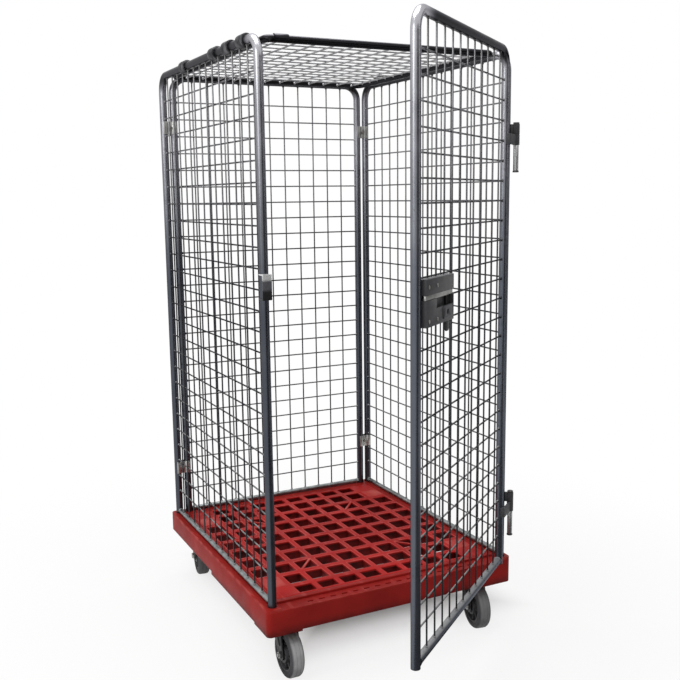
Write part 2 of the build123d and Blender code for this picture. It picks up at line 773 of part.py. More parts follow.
def lid_saddle():
    """Bent plate over the top and front of the lid's front rail, at its left end."""
    x0 = lid_left + lid_bend + saddle_in
    x1 = x0 + saddle_len
    body = rod_x(x0, x1, lid_front, top_z, lid_r + saddle_t)
    body -= rod_x(x0, x1, lid_front, top_z, lid_r + weld_gap)
    far = 2 * (lid_r + saddle_t)
    body -= block(x0, x1, lid_front - far, lid_front + far, top_z - far, top_z - saddle_t)
    return body - block(x0, x1, lid_front + saddle_t, lid_front + far, top_z - far, top_z + far)


run_x, run_y = lid_wires()
save("lid_frame", [lid_loop(lid_r) - lid_loop(lid_r - tube_wall)])
save("lid_wires_x", run_x)
save("lid_wires_y", run_y)
save("lid_hooks", [lid_hook(between_wires(post_y, y)) for y in hook_y])
save("lid_rests", [lid_rest(y) for y in rest_y])
save("lid_saddle", [lid_saddle()])
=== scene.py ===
import json
import math
import bpy
from mathutils import Matrix, Vector

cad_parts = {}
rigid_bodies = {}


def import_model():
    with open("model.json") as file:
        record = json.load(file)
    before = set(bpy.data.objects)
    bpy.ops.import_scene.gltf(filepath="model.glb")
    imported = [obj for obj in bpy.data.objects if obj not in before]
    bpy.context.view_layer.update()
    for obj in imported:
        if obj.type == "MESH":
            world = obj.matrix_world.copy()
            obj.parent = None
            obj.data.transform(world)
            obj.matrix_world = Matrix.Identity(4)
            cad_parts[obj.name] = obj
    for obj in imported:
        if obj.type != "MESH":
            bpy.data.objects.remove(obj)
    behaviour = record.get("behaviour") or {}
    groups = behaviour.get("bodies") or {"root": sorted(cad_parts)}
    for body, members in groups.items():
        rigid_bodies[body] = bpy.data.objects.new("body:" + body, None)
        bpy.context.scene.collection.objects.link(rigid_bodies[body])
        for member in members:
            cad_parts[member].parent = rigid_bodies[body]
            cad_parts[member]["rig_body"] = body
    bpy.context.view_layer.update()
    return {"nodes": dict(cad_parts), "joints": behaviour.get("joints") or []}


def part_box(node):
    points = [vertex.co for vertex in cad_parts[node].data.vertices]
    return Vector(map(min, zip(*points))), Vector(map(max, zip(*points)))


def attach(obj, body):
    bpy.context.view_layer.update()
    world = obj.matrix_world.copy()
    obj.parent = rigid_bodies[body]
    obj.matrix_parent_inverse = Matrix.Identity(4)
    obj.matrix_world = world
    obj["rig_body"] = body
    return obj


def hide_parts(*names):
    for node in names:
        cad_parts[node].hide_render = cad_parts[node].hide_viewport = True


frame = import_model()
nodes = frame["nodes"]
joints = {joint["name"]: joint for joint in frame["joints"]}


# Base border: the rim of the platform, moulded in red plastic in one piece with its skirt, the blocks
# over the castors and the sockets for the uprights.  The mould leaves every edge a little round.


class Tone:
    """A socket among a material's nodes.  Arithmetic on tones adds the Math nodes it needs."""

    def __init__(self, tree, socket):
        self.tree = tree
        self.socket = socket

    def node(self, kind, settings, sockets, out=0):
        made = self.tree.nodes.new(kind)
        for name, value in settings.items():
            setattr(made, name, value)
        for name, value in sockets.items():
            if isinstance(value, Tone):
                self.tree.links.new(value.socket, made.inputs[name])
            else:
                made.inputs[name].default_value = value
        return Tone(self.tree, made.outputs[out])

    def math(self, operation, *values):
        return self.node("ShaderNodeMath", {"operation": operation}, dict(enumerate(values)))

    def __add__(self, other):
        return self.math("ADD", self, other)

    def __sub__(self, other):
        return self.math("SUBTRACT", self, other)

    def __rsub__(self, other):
        return self.math("SUBTRACT", other, self)

    def __mul__(self, other):
        return self.math("MULTIPLY", self, other)

    def __truediv__(self, other):
        return self.math("DIVIDE", self, other)

    def __abs__(self):
        return self.math("ABSOLUTE", self)

    __radd__ = __add__
    __rmul__ = __mul__

    def most(self, other):
        return self.math("MAXIMUM", self, other)

    def least(self, other):
        return self.math("MINIMUM", self, other)

    def axis(self, letter):
        return self.node("ShaderNodeSeparateXYZ", {}, {"Vector": self}, letter)

    def grain(self, scale, detail=3.0, stretch=(1.0, 1.0, 1.0)):
        """Noise over these coordinates, drawn out along an axis whose stretch is small."""
        drawn = self.node("ShaderNodeMapping", {}, {"Vector": self, "Scale": stretch})
        sockets = {"Vector": drawn, "Scale": scale, "Detail": detail}
        return self.node("ShaderNodeTexNoise", {}, sockets, "Fac")

    def step(self, low, high):
        """0 below low, 1 above high and smooth between them."""
        ends = {"Value": self, "From Min": low, "From Max": high}
        return self.node("ShaderNodeMapRange", {"interpolation_type": "SMOOTHSTEP"}, ends)

    def blend(self, first, second):
        """The first colour where this tone is 0 and the second where it is 1."""
        factor, low, high, result = 0, 6, 7, 2  # the Mix node's names repeat, so sockets go by number
        sockets = {factor: self, low: first, high: second}
        return self.node("ShaderNodeMix", {"data_type": "RGBA"}, sockets, result)

    def bump(self, distance, strength):
        sockets = {"Height": self, "Distance": distance, "Strength": strength}
        return self.node("ShaderNodeBump", {}, sockets, "Normal")

    def feed(self, shader, socket):
        self.tree.links.new(self.socket, shader.inputs[socket])


def new_finish(name, constants):
    """A material, its shader with the constant values set, and its Object coordinates."""
    finish = bpy.data.materials.new(name)
    finish.use_nodes = True
    shader = finish.node_tree.nodes["Principled BSDF"]
    for socket, value in constants.items():
        shader.inputs[socket].default_value = value
    coordinates = finish.node_tree.nodes.new("ShaderNodeTexCoord")
    return finish, shader, Tone(finish.node_tree, coordinates.outputs["Object"])


def slant(place):
    """The upward part of the surface's normal: 1 on top, 0 on a wall, -1 underneath."""
    return place.node("ShaderNodeNewGeometry", {}, {}, "Normal").axis("Z")


def upper_side(place):
    """1 on surfaces that face up and 0 on walls."""
    return slant(place).step(0.4, 0.9)


PALE_RED = (0.54, 0.090, 0.078, 1)
SHADE_AND_GRIME = (0.040, 0.006, 0.005, 1)


def moulded_red(name, deep, bright, wear, unshaded_from, unshaded_to):
    """Grained plastic with cloudy colour and pale scuffs on top, darkened below the unshaded height by
    painted shade mixed with some grime.
    """
    finish, shader, place = new_finish(name, {"Specular IOR Level": 0.12})
    colour = place.grain(7.0, 4.0).step(0.3, 0.7).blend(deep, bright)
    scuff = place.grain(60.0, 6.0, (1.0, 0.15, 1.0)).step(0.57, 0.72) * upper_side(place) * 0.3
    colour = (wear(place) + scuff).least(1.0).blend(colour, PALE_RED)
    # Below the unshaded height the colour goes dark: painted shade with some grime.
    low = 1 - place.axis("Z").step(unshaded_from, unshaded_to)
    shade_and_grime = low * (0.55 + place.grain(38.0, 5.0).step(0.35, 0.75) * 0.4)
    shade_and_grime.blend(colour, SHADE_AND_GRIME).feed(shader, "Base Color")
    (0.42 + place.grain(22.0, 4.0) * 0.24).feed(shader, "Roughness")
    place.grain(800.0, 2.0).bump(0.0004, 0.35).feed(shader, "Normal")
    return finish


def alone(piece):
    """Makes a piece the only selected one, and the active one."""
    bpy.ops.object.select_all(action="DESELECT")
    piece.select_set(True)
    bpy.context.view_layer.objects.active = piece


def rounded(piece, width):
    """Rounds every edge sharper than 40 degrees."""
    alone(piece)
    edge = piece.modifiers.new("edge", "BEVEL")
    edge.width = width
    edge.segments = 2
    edge.limit_method = "ANGLE"
    edge.angle_limit = math.radians(40)
    edge.use_clamp_overlap = False
    bpy.ops.object.modifier_apply(modifier="edge")


def finished(piece, name, body, finish, stands_for=()):
    """Puts a piece's place into its mesh, and gives it its name, finish and body."""
    alone(piece)
    bpy.ops.object.transform_apply(location=True, rotation=True, scale=True)
    bpy.ops.object.shade_smooth_by_angle(angle=math.radians(35))
    piece.name = name
    piece.data.materials.clear()
    piece.data.materials.append(finish)
    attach(piece, body)
    if stands_for:
        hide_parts(*stands_for)


def softened(name, node, width, finish):
    """A copy of a CAD solid with rounded edges, which stands for it."""
    piece = bpy.data.objects.new(name, nodes[node].data.copy())
    bpy.context.scene.collection.objects.link(piece)
    alone(piece)
    bpy.ops.mesh.customdata_custom_splitnormals_clear()
    bpy.ops.object.mode_set(mode="EDIT")
    bpy.ops.mesh.select_all(action="SELECT")
    bpy.ops.mesh.remove_doubles(threshold=0.00001)
    bpy.ops.mesh.dissolve_limited(angle_limit=math.radians(0.5))
    bpy.ops.object.mode_set(mode="OBJECT")
    rounded(piece, width)
    finished(piece, name, nodes[node]["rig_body"], finish, [node])


KNOCKED_IN, KNOCKED_DOWN = 0.006, 0.012
# The rim's red is darker towards the bottom of its skirt.
LOW_SHADE_FROM, LOW_SHADE_TO = -0.004, 0.030
base_low, base_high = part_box("base_border")


def rim_wear(place):
    """Paler along the outer upper edge, where other things knock against it."""
    side = abs(place.axis("X")).step(base_high.x - KNOCKED_IN, base_high.x)
    end = abs(place.axis("Y")).step(base_high.y - KNOCKED_IN, base_high.y)
    top = place.axis("Z").step(base_high.z - KNOCKED_DOWN, base_high.z)
    return side.most(end) * top * place.grain(30.0, 4.0).step(0.35, 0.65) * 0.5


# The rim's red is darker than the deck's, though both are the same plastic: painted shade on the rim's
# walls.
rim_red = moulded_red("rim_red", (0.23, 0.008, 0.006, 1), (0.32, 0.012, 0.009, 1), rim_wear,
                      base_low.z + LOW_SHADE_FROM, base_low.z + LOW_SHADE_TO)
softened("base_border_moulded", "base_border", 0.0012, rim_red)


# Deck grid: the ribbed lattice that the goods stand on, moulded in the same red plastic and dropped
# into the border.  Boxes sliding over it have rubbed the edges of its holes pale.

HOLE_PITCH = (0.065, 0.075)
HOLE_HALF = (0.0245, 0.0275)
RUBBED_FROM, RUBBED_TO = 0.0005, 0.0045
LAST_FULL_ROW = 0.300


def hole_distance(place, letter, pitch, half):
    """Distance outwards from the hole's edge, along one axis."""
    cell = place.axis(letter) / pitch
    return abs(cell - cell.math("FLOOR", cell) - 0.5) * pitch - half


def lattice_wear(place):
    """Paler around the holes of the full rows."""
    across = hole_distance(place, "X", HOLE_PITCH[0], HOLE_HALF[0])
    along = hole_distance(place, "Y", HOLE_PITCH[1], HOLE_HALF[1])
    edge = 1 - across.most(along).step(RUBBED_FROM, RUBBED_TO)
    rows = 1 - abs(place.axis("Y")).step(LAST_FULL_ROW - 0.002, LAST_FULL_ROW)
    rubbed = 0.3 + place.grain(16.0, 4.0).step(0.3, 0.7) * 0.6
    return edge * rows * rubbed * upper_side(place)


# From 1 cm below its top, on the walls of its holes, the deck is painted dark as shade.
lattice_red = moulded_red("lattice_red", (0.33, 0.010, 0.009, 1), (0.46, 0.016, 0.014, 1), lattice_wear,
                          base_high.z - 0.010, base_high.z - 0.001)
softened("deck_grid_moulded", "deck_grid", 0.0013, lattice_red)


# Castor plates: pressed steel, zinc plated, each held under the base by four hexagon bolts with washers.
# The kingpin is riveted through the plate's middle and carries the fork.

CORNERS = ("fl", "fr", "bl", "br")
BOLT_SPACING = (0.060, 0.080)
PLATE_UNDER = 0.151
CASTOR_BOLT = (0.013, 0.0041, 0.0088)  # width across flats, height of the head, radius of the washer
WASHER_T = 0.0012
STEM_SHARE = 0.3  # a stem's radius, as a share of the width across flats
STEM_EDGE = (0.0005, 0.0004)


def plated(name, dark, light, rough):
    """Zinc plating: a metal with faint clouds, fine scratches and duller spots."""
    finish, shader, place = new_finish(name, {"Metallic": 0.9, "Specular Tint": (0.5, 0.5, 0.5, 1)})
    cloud = place.grain(45.0, 5.0).step(0.3, 0.72)
    cloud.blend(dark, light).feed(shader, "Base Color")
    scratch = place.grain(420.0, 2.0, (1.0, 1.0, 0.08))
    (rough + cloud * 0.12 + scratch * 0.08).feed(shader, "Roughness")
    (scratch + place.grain(260.0)).bump(0.0002, 0.25).feed(shader, "Normal")
    return finish


def pick(piece, wanted):
    """In edit mode, selects the faces whose middle and normal pass the test."""
    bpy.ops.mesh.select_mode(type="FACE")
    bpy.ops.mesh.select_all(action="DESELECT")
    bpy.ops.object.mode_set(mode="OBJECT")
    for face in piece.data.polygons:
        face.select = wanted(face.center, face.normal)
    bpy.ops.object.mode_set(mode="EDIT")


def stepped(piece, axis, steps):
    """Works both flat ends of a turned piece: each step insets them and moves them out or in."""
    alone(piece)
    bpy.ops.object.mode_set(mode="EDIT")
    pick(piece, lambda middle, normal: abs(normal[axis]) > 0.99)
    for inset, out in steps:
        bpy.ops.mesh.inset(thickness=inset, depth=out)
    bpy.ops.object.mode_set(mode="OBJECT")


def joined(pieces):
    """Joins pieces into the first one and puts its place into the mesh."""
    bpy.ops.object.select_all(action="DESELECT")
    for piece in pieces:
        piece.select_set(True)
    bpy.context.view_layer.objects.active = pieces[0]
    bpy.ops.object.join()
    bpy.ops.object.transform_apply(location=True, rotation=True, scale=True)
    return pieces[0]


def set_out(model, places):
    """Copies a model to each place, joins the copies into one mesh and removes the model."""
    copies = []
    for place in places:
        copy = bpy.data.objects.new(model.name, model.data.copy())
        copy.matrix_world = place
        bpy.context.scene.collection.objects.link(copy)
        copies.append(copy)
    bpy.data.objects.remove(model)
    return joined(copies)


def turned(radius, length, sides=32):
    """A cylinder along Z that stands on the origin, to be worked further."""
    bpy.ops.object.select_all(action="DESELECT")
    bpy.ops.mesh.primitive_cylinder_add(vertices=sides, radius=radius, depth=length,
                                        location=(0, 0, length / 2))
    bpy.ops.object.transform_apply(location=True, rotation=True, scale=True)
    return bpy.context.object


def hexagon_bolt(across_flats, height, washer, tip=0.0, shank=0.0):
    """Hexagon head or nut on its washer, seated on the origin.

    A tip stands out of it, and a shank hangs below."""
    ring = turned(washer, WASHER_T, 24)
    stepped(ring, 2, [(0.0006, 0.0001)])
    head = turned(across_flats / math.sqrt(3), WASHER_T + height, 6)
    stepped(head, 2, [(across_flats * 0.06, 0.0004), (across_flats * 0.12, 0.0)])
    parts = [ring, head]
    if tip:
        end = turned(across_flats * STEM_SHARE, WASHER_T + height + tip, 16)
        stepped(end, 2, [STEM_EDGE])
        parts.append(end)
    if shank:
        stem = turned(across_flats * STEM_SHARE, shank, 16)
        stepped(stem, 2, [STEM_EDGE])
        stem.location.z = -shank
        parts.append(stem)
    bolt = joined(parts)
    rounded(bolt, 0.0003)
    return bolt


bright_zinc = plated("bright_zinc", (0.34, 0.34, 0.33, 1), (0.54, 0.54, 0.52, 1), 0.26)
bolt_zinc = plated("bolt_zinc", (0.26, 0.25, 0.23, 1), (0.46, 0.45, 0.42, 1), 0.30)
softened("castor_plates_pressed", "castor_plates", 0.0006, bright_zinc)
softened("castor_kingpins_riveted", "castor_kingpins", 0.0010, bright_zinc)
bolt_places = []
for corner in CORNERS:
    swivel = Vector(joints["swivel_" + corner]["pos_m"])
    for along_x in (-BOLT_SPACING[0] / 2, BOLT_SPACING[0] / 2):
        for along_y in (-BOLT_SPACING[1] / 2, BOLT_SPACING[1] / 2):
            spot = Matrix.Translation((swivel.x + along_x, swivel.y + along_y, PLATE_UNDER))
            bolt_places.append(spot @ Matrix.Rotation(math.pi, 4, "X"))
castor_bolts = set_out(hexagon_bolt(*CASTOR_BOLT), bolt_places)
finished(castor_bolts, "castor_bolts_washers", "cage", bolt_zinc, ["castor_bolts"])


# Castor forks: pressed from steel plate and coated black, each leg stiffened by a raised swage.  Each turns
# on its kingpin under a seal ring, and its legs hold the axle, a hexagon bolt with a nut.

SEAL_LOW = 0.1426
SEAL_R, SEAL_HEIGHT, SEAL_WALL = 0.0346, 0.0068, 0.0026
LEG_OUT = 0.025
SWAGE_TOP, SWAGE_FOOT = (0.006, 0.130), (0.031, 0.083)
SWAGE_W, SWAGE_T, SWAGE_MIDDLE = 0.011, 0.0016, 0.0004
SWAGE_EDGE, SWAGE_RISE = 0.0022, 0.0010


def coated_black(name, tint, rough):
    """Black coating over steel, rubbed through to grey in small specks and thinly on top."""
    finish, shader, place = new_finish(name, {"Specular IOR Level": 0.3})
    speck = place.grain(170.0, 6.0).step(0.64, 0.74)
    worn = (speck * 0.5 + slant(place).step(0.75, 0.98) * 0.4).least(1.0)
    worn.blend(tint, (0.22, 0.22, 0.23, 1)).feed(shader, "Base Color")
    (worn * 0.7).feed(shader, "Metallic")
    (rough + place.grain(40.0, 4.0) * 0.2).feed(shader, "Roughness")
    place.grain(520.0, 2.0).bump(0.0003, 0.3).feed(shader, "Normal")
    return finish


def seal_ring():
    """Ring of sheet steel around the swivel race."""
    ring = turned(SEAL_R, SEAL_HEIGHT, 48)
    alone(ring)
    bpy.ops.object.mode_set(mode="EDIT")
    pick(ring, lambda middle, normal: abs(normal.z) > 0.99)
    bpy.ops.mesh.inset(thickness=SEAL_WALL)
    bpy.ops.mesh.delete(type="FACE")
    bpy.ops.mesh.select_mode(type="EDGE")
    bpy.ops.mesh.select_all(action="DESELECT")
    bpy.ops.mesh.select_non_manifold()
    bpy.ops.mesh.bridge_edge_loops()
    bpy.ops.object.mode_set(mode="OBJECT")
    rounded(ring, 0.0008)
    return ring


def leg_swage():
    """Rounded ridge along Z, which rises from the origin's YZ plane towards +X."""
    length = math.dist(SWAGE_TOP, SWAGE_FOOT)
    bpy.ops.object.select_all(action="DESELECT")
    bpy.ops.mesh.primitive_cube_add(size=1, location=(SWAGE_MIDDLE, 0, 0), scale=(SWAGE_T, SWAGE_W, length))
    bpy.ops.object.transform_apply(location=True, rotation=True, scale=True)
    ridge = bpy.context.object
    bpy.ops.object.mode_set(mode="EDIT")
    pick(ridge, lambda middle, normal: normal.x > 0.9)
    bpy.ops.mesh.inset(thickness=SWAGE_EDGE, depth=SWAGE_RISE)
    bpy.ops.object.mode_set(mode="OBJECT")
    rounded(ridge, 0.0006)
    return ridge


fork_black = coated_black("fork_black", (0.009, 0.009, 0.010, 1), 0.34)
lean = math.atan2(SWAGE_TOP[0] - SWAGE_FOOT[0], SWAGE_TOP[1] - SWAGE_FOOT[1])
middle_y, middle_z = [(top + foot) / 2 for top, foot in zip(SWAGE_TOP, SWAGE_FOOT)]
for corner in CORNERS:
    softened("fork_pressed_" + corner, "fork_" + corner, 0.0009, fork_black)
    softened("axle_bolt_" + corner, "axle_" + corner, 0.0005, bright_zinc)
    swivel = Vector(joints["swivel_" + corner]["pos_m"])
    stem = Matrix.Translation((swivel.x, swivel.y, 0))
    seal = set_out(seal_ring(), [stem @ Matrix.Translation((0, 0, SEAL_LOW))])
    finished(seal, "swivel_seal_" + corner, "castor_" + corner, fork_black)
    trail = Vector(joints["spin_" + corner]["pos_m"]) - swivel
    stand = stem @ Matrix.Rotation(math.atan2(-trail.x, trail.y), 4, "Z")
    spots = []
    for side, turn in ((1, 0.0), (-1, math.pi)):
        leg = stand @ Matrix.Translation((side * LEG_OUT, middle_y, middle_z))
        spots.append(leg @ Matrix.Rotation(-lean, 4, "X") @ Matrix.Rotation(turn, 4, "Z"))
    swages = set_out(leg_swage(), spots)
    finished(swages, "leg_swages_" + corner, "castor_" + corner, fork_black)


# Wheels: a grey solid rubber tyre on a dark plastic rim with eight ribs on each side, running on two
# steel bearings.  The tyre is moulded on, with two fine grooves around its tread.

WHEEL_R, WHEEL_W = 0.0625, 0.036
SHOULDER = 0.009
GROOVE_IN, GROOVE_OUT, GROOVE_EDGE, GROOVE_DEEP = 0.0046, 0.0058, 0.0003, 0.0009
SIDE_RING = ((0.0022, 0.0), (0.0007, -0.0007), (0.0016, 0.0), (0.0007, 0.0007))
TREAD_FROM, TREAD_TO = 0.0115, 0.0172
# Tread tone of each wheel: dust together with painted light and shade, darkest on the back left wheel as
# painted shade.
TREAD_DUST_AND_LIGHT = {"fl": 0.36, "fr": 0.19, "bl": 0.11, "br": 0.26}
RIM_R, RIM_IN = 0.046, 0.004
RIM_BAND, RIM_WELL, RIM_WEB = (0.0055, 0.0), (0.0005, -0.011), (0.0175, 0.0)
HUB_RISE, HUB_FACE, BEARING_SEAT = (0.0005, 0.014), (0.008, 0.0), (0.0, -0.0125)
RIBS = 8
RIB_MIDDLE, RIB_SIZE, RIB_EDGE = 0.031, (0.025, 0.0032, 0.0195), 0.0007


def wheel_matrix(corner):
    """Place of the wheel's centre, turned so that the axle runs along local X."""
    spin = joints["spin_" + corner]
    turn = math.atan2(spin["axis"][1], spin["axis"][0])
    return Matrix.Translation(spin["pos_m"]) @ Matrix.Rotation(turn, 4, "Z")


def wheel_place(place, corner):
    """Coordinates with the wheel's centre at 0 and its axle along X."""
    matrix = wheel_matrix(corner)
    sockets = {"Vector": place, "Location": matrix.translation, "Rotation": matrix.to_euler()}
    return place.node("ShaderNodeMapping", {"vector_type": "TEXTURE"}, sockets)


def grey_rubber(corner):
    """Rubber with a pale tread, partly dust and partly painted light, and dark scuffs on its shoulders."""
    finish, shader, place = new_finish("grey_rubber_" + corner, {"Specular IOR Level": 0.3})
    wheel = wheel_place(place, corner)
    tread = 1 - abs(wheel.axis("X")).step(TREAD_FROM, TREAD_TO)
    scuff = wheel.grain(55.0, 6.0).step(0.50, 0.72)
    colour = (scuff * 0.7).blend((0.060, 0.060, 0.064, 1), (0.030, 0.030, 0.032, 1))
    # The tread is lightened by dust together with painted light.
    dusty = tread * (0.55 + wheel.grain(25.0, 4.0).step(0.3, 0.7) * 0.45)
    dust = TREAD_DUST_AND_LIGHT[corner]
    dusty.blend(colour, (dust, dust, dust, 1)).feed(shader, "Base Color")
    (0.55 + wheel.grain(30.0, 4.0) * 0.25).feed(shader, "Roughness")
    wheel.grain(600.0).bump(0.0004, 0.4).feed(shader, "Normal")
    return finish


def dark_plastic(name, tint, light):
    """Moulded plastic with cloudy colour and a fine grain."""
    finish, shader, place = new_finish(name, {"Specular IOR Level": 0.4})
    place.grain(30.0, 4.0).step(0.3, 0.7).blend(tint, light).feed(shader, "Base Color")
    (0.45 + place.grain(24.0, 4.0) * 0.2).feed(shader, "Roughness")
    place.grain(700.0, 2.0).bump(0.0003, 0.3).feed(shader, "Normal")
    return finish


def lying(radius, length):
    """A cylinder along X, centred on the origin."""
    bpy.ops.object.select_all(action="DESELECT")
    bpy.ops.mesh.primitive_cylinder_add(vertices=64, radius=radius, depth=length,
                                        rotation=(0, math.pi / 2, 0))
    bpy.ops.object.transform_apply(location=True, rotation=True, scale=True)
    return bpy.context.object


def moulded_tyre():
    """Band of rubber with round shoulders, two grooves in the tread and a fine ring on each side."""
    tyre = lying(WHEEL_R, WHEEL_W)
    bpy.ops.object.mode_set(mode="EDIT")
    bpy.ops.mesh.select_mode(type="EDGE")
    for cut in (-GROOVE_OUT, -GROOVE_IN, GROOVE_IN, GROOVE_OUT):
        bpy.ops.mesh.select_all(action="SELECT")
        bpy.ops.mesh.bisect(plane_co=(cut, 0, 0), plane_no=(1, 0, 0))
    pick(tyre, lambda middle, normal: abs(normal.x) < 0.1 and GROOVE_IN < abs(middle.x) < GROOVE_OUT)
    bpy.ops.mesh.inset(thickness=GROOVE_EDGE, depth=-GROOVE_DEEP, use_boundary=True)
    bpy.ops.mesh.select_mode(type="EDGE")
    bpy.ops.mesh.select_all(action="DESELECT")
    bpy.ops.object.mode_set(mode="OBJECT")
    for edge in tyre.data.edges:
        ends = [tyre.data.vertices[v].co for v in edge.vertices]
        edge.select = all(abs(abs(end.x) - WHEEL_W / 2) < 0.0001 for end in ends)
    bpy.ops.object.mode_set(mode="EDIT")
    bpy.ops.mesh.bevel(offset=SHOULDER, segments=5)
    pick(tyre, lambda middle, normal: abs(normal.x) > 0.99)
    side_left = WHEEL_R - SHOULDER - RIM_R - sum(inset for inset, out in SIDE_RING)
    for inset, out in SIDE_RING + ((side_left, 0.0),):
        bpy.ops.mesh.inset(thickness=inset, depth=out)
    bpy.ops.mesh.delete(type="FACE")
    bpy.ops.mesh.select_mode(type="EDGE")
    bpy.ops.mesh.select_all(action="DESELECT")
    bpy.ops.mesh.select_non_manifold()
    bpy.ops.mesh.bridge_edge_loops()
    bpy.ops.object.mode_set(mode="OBJECT")
    return tyre


def moulded_rim():
    """Rim band, thin web, hub with its bearing seats, and the ribs between hub and band."""
    body = lying(RIM_R, WHEEL_W - RIM_IN)
    stepped(body, 0, [RIM_BAND, RIM_WELL, RIM_WEB, HUB_RISE, HUB_FACE, BEARING_SEAT])
    parts = [body]
    for number in range(RIBS):
        bpy.ops.object.select_all(action="DESELECT")
        bpy.ops.mesh.primitive_cube_add(size=1, location=(0, 0, RIB_MIDDLE), scale=RIB_SIZE)
        rib = bpy.context.object
        bpy.ops.object.transform_apply(location=True, rotation=True, scale=True)
        bpy.ops.object.mode_set(mode="EDIT")
        pick(rib, lambda middle, normal: abs(normal.x) > 0.99)
        bpy.ops.mesh.inset(thickness=RIB_EDGE, depth=RIB_EDGE)
        bpy.ops.object.mode_set(mode="OBJECT")
        rib.matrix_world = Matrix.Rotation(2 * math.pi * number / RIBS, 4, "X")
        parts.append(rib)
    rim = joined(parts)
    rounded(rim, 0.0004)
    return rim


def dress(names, finish):
    """Gives CAD nodes, which stay as they are, a finish."""
    for name in names:
        for slot in nodes[name].material_slots:
            slot.material = finish


rim_plastic = dark_plastic("rim_plastic", (0.035, 0.035, 0.038, 1), (0.060, 0.060, 0.064, 1))
bearing_steel = plated("bearing_steel", (0.36, 0.36, 0.37, 1), (0.52, 0.52, 0.53, 1), 0.24)
for corner in CORNERS:
    wheel = "wheel_" + corner
    tyre = set_out(moulded_tyre(), [wheel_matrix(corner)])
    finished(tyre, "tyre_moulded_" + corner, wheel, grey_rubber(corner), ["tyre_" + corner])
    rim = set_out(moulded_rim(), [wheel_matrix(corner)])
    finished(rim, "rim_ribbed_" + corner, wheel, rim_plastic, ["rim_" + corner])
    dress(["bearings_" + corner], bearing_steel)


# Side and back panels: bent steel tubes that stand in the base, each with a thin lower rail and a mesh of
# wires.  Every wire end and rail end is welded on with a small bead, and all is zinc plated after that.

TOP_RAIL = 1.583
TUBE_R = 0.011
POST_X, POST_Y, INNER_X = 0.348, 0.3935, 0.317
MESH = 0.051
WIRE_R = 0.0021
WIRE_OFF = 0.002125
SIDE_COLUMNS, END_COLUMNS = 14, 11
SILL_Z, SILL_R = 0.2174, 0.007
SILL_BEAD = 2.2  # as a multiple of a wire's bead
BEAD_FOOT, BEAD_TOP, BEAD_HEIGHT, BEAD_MIDDLE = 0.0042, 0.0027, 0.0032, 0.0013
FRONT_FROM, FRONT_TO = -0.37, -0.31
SHADE_TINT_FROM, SHADE_TINT_TO = 0.95, 1.45
# Heights of the painted highlight on the bends and of the painted shade on the top rails.
HIGHLIGHT_FROM, HIGHLIGHT_TO = 1.38, 1.56
UNDERSIDE_SHADE_FROM, UNDERSIDE_SHADE_TO = TOP_RAIL - 0.045, TOP_RAIL - 0.012
DUSTY_FROM, DUSTY_TO = 0.45, 0.95


def front_bend_highlight(place):
    """The front ends of the panels, whose upper bends get a painted highlight."""
    return 1 - place.axis("Y").step(FRONT_FROM, FRONT_TO)


def no_highlight(place):
    """No painted highlight anywhere."""
    return 0.0


def galvanised(name, dark, light, low_shade_tint, underside_shade_tint, highlight_zone, dusty):
    """Plated steel: cloudy zinc with long drawing streaks, darker and bluer towards the base as painted
    shade.

    Painted shade darkens the top rails on all but their upper faces.  A painted highlight brightens the
    upper bends inside the highlight zone.
    Low down, pale dust lies on whatever faces up more than the dusty slant."""
    finish, shader, place = new_finish(name, {"Specular Tint": (0.50, 0.50, 0.52, 1)})
    cloud = place.grain(11.0, 5.0).step(0.28, 0.74)
    streak = place.grain(260.0, 3.0, (1.0, 1.0, 0.03))
    colour = (cloud * 0.7 + streak * 0.3).blend(dark, light)
    # Painted shade: darker and bluer towards the base.
    low = 1 - place.axis("Z").step(SHADE_TINT_FROM, SHADE_TINT_TO)
    colour = (low * 0.88).blend(colour, low_shade_tint)
    highlighted = highlight_zone(place)
    # Painted highlight on the upper bends inside the highlight zone.
    bright = highlighted * place.axis("Z").step(HIGHLIGHT_FROM, HIGHLIGHT_TO)
    colour = (bright * 0.75).blend(colour, (0.52, 0.52, 0.55, 1))
    # Painted shade on the top rails, on all but their upper faces.
    top = place.axis("Z").step(UNDERSIDE_SHADE_FROM, UNDERSIDE_SHADE_TO)
    underside_shade = top * (1 - slant(place).step(0.55, 0.98)) * (1 - highlighted)
    colour = (underside_shade * 0.95).blend(colour, underside_shade_tint)
    spot = place.grain(85.0, 6.0).step(0.63, 0.75) * 0.6
    colour = spot.blend(colour, (0.07, 0.07, 0.075, 1))
    near_floor = 1 - place.axis("Z").step(DUSTY_FROM, DUSTY_TO)
    dust = slant(place).step(dusty, dusty + 0.6) * near_floor * (0.5 + cloud * 0.3)
    dust.blend(colour, (0.40, 0.40, 0.40, 1)).feed(shader, "Base Color")
    (0.86 - dust * 0.6).feed(shader, "Metallic")
    (0.19 + cloud * 0.10 + streak * 0.10 + dust * 0.3).feed(shader, "Roughness")
    (streak + place.grain(300.0)).bump(0.0002, 0.2).feed(shader, "Normal")
    return finish


